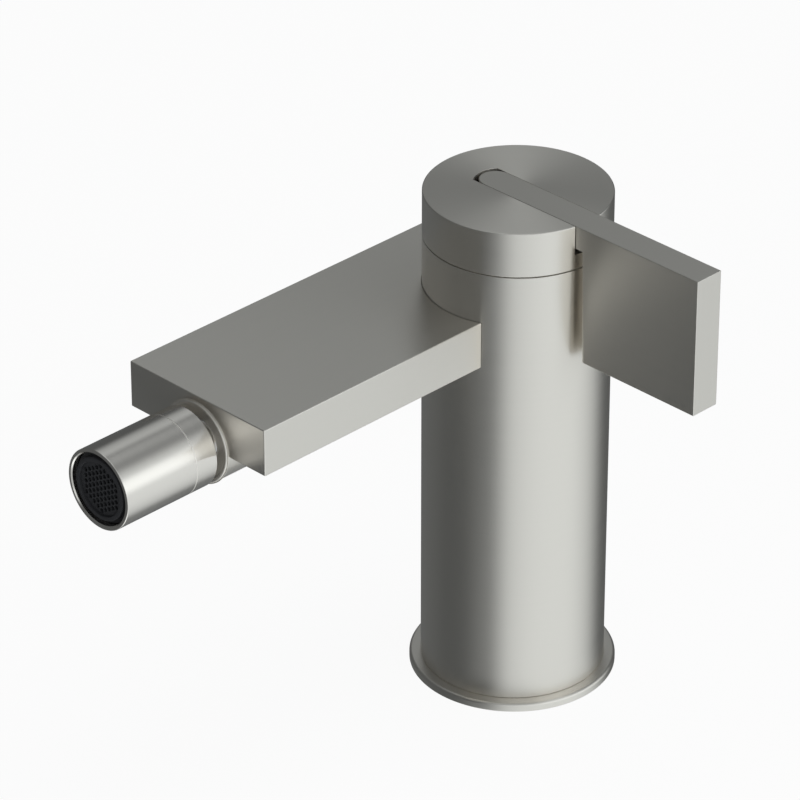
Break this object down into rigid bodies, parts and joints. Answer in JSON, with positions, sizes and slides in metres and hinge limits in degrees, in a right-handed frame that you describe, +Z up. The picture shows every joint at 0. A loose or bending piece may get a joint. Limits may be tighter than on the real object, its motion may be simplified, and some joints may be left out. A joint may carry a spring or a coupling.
{
  "type": "bidet mixer",
  "caption": "Deck-mounted single-lever bidet mixer: round body, flat bar spout set off to one side, swivelling ball-joint aerator nozzle, and a flag-shaped lever in a turning cap.",
  "frame": {"origin": "centre of the round foot, on the deck it stands on", "axes": "+Z up along the body's axis; -Y forwards, the way the spout and nozzle point; +X to the right, the way the lever points at rest"},
  "size_m": [0.1064, 0.162, 0.144],
  "materials": {
    "brushed_nickel": "brushed satin, nickel colour",
    "satin_sleeve": "fine satin, brighter than the bar",
    "bright_steel": "polished",
    "plain_steel": "plain stainless steel",
    "cast_brass": "rough machined brass",
    "turned_brass": "turned brass",
    "black_rubber": "matt black rubber",
    "black_plastic": "black moulded plastic",
    "white_plastic": "off-white moulded plastic",
    "blue_plastic": "dark blue-grey moulded plastic",
    "ceramic": "lapped white ceramic"
  },
  "bodies": {
    "mixer_body": {"base_ring": "brushed_nickel", "base_seal": "black_rubber", "body_shell": "brushed_nickel", "valve_body": "cast_brass", "spout_bar": "brushed_nickel", "outlet_nipple": "turned_brass", "nipple_seals": "black_rubber", "nozzle_boss": "brushed_nickel", "swivel_nut": "plain_steel", "swivel_washer": "black_rubber", "cartridge_housing": "white_plastic", "cartridge_base": "white_plastic", "cartridge_seal": "black_rubber", "port_seals": "black_rubber", "fixed_disc": "ceramic", "ring_nut": "turned_brass", "stop_pin": "plain_steel", "glide_ring": "white_plastic"},
    "turret": {"spindle": "cast_brass", "cap": "brushed_nickel", "cap_screws": "plain_steel", "pivot_screw": "plain_steel"},
    "lever_arm": {"lever": "brushed_nickel", "drive_stem": "plain_steel"},
    "disc_slider": {"disc_carrier": "blue_plastic", "moving_disc": "ceramic"},
    "swivel_seat": {"ball_seat": "white_plastic"},
    "nozzle": {"swivel_ball": "bright_steel", "rear_sleeve_ring": "satin_sleeve", "joint_seal": "black_rubber", "front_sleeve_ring": "satin_sleeve", "aerator_cage": "black_plastic", "aerator_grid": "black_plastic", "flow_regulator": "white_plastic", "filter_screen": "plain_steel", "aerator_washer": "black_rubber"}
  },
  "joints": [
    {"name": "temperature_turn", "type": "hinge", "parent": "mixer_body", "child": "turret", "pos_m": [0, 0, 0.1377], "axis": [0, 0, 1], "range_deg": [-45, 45]},
    {"name": "flow_lift", "type": "hinge", "parent": "turret", "child": "lever_arm", "pos_m": [0, 0, 0.1395], "axis": [0, -1, 0], "range_deg": [0, 15]},
    {"name": "disc_slide", "type": "slide", "parent": "turret", "child": "disc_slider", "axis": [1, 0, 0], "range_m": [0, 0.00367]},
    {"name": "nozzle_swing", "type": "hinge", "parent": "mixer_body", "child": "swivel_seat", "pos_m": [-0.01525, -0.0935, 0.1038], "axis": [0, 1, 0], "continuous": true},
    {"name": "nozzle_tilt", "type": "hinge", "parent": "swivel_seat", "child": "nozzle", "pos_m": [-0.01525, -0.0935, 0.1038], "axis": [1, 0, 0], "range_deg": [-12, 12]}
  ],
  "couplings": [
    {"joint": "disc_slide", "follows": "flow_lift", "m_per_rad": 0.014}
  ]
}
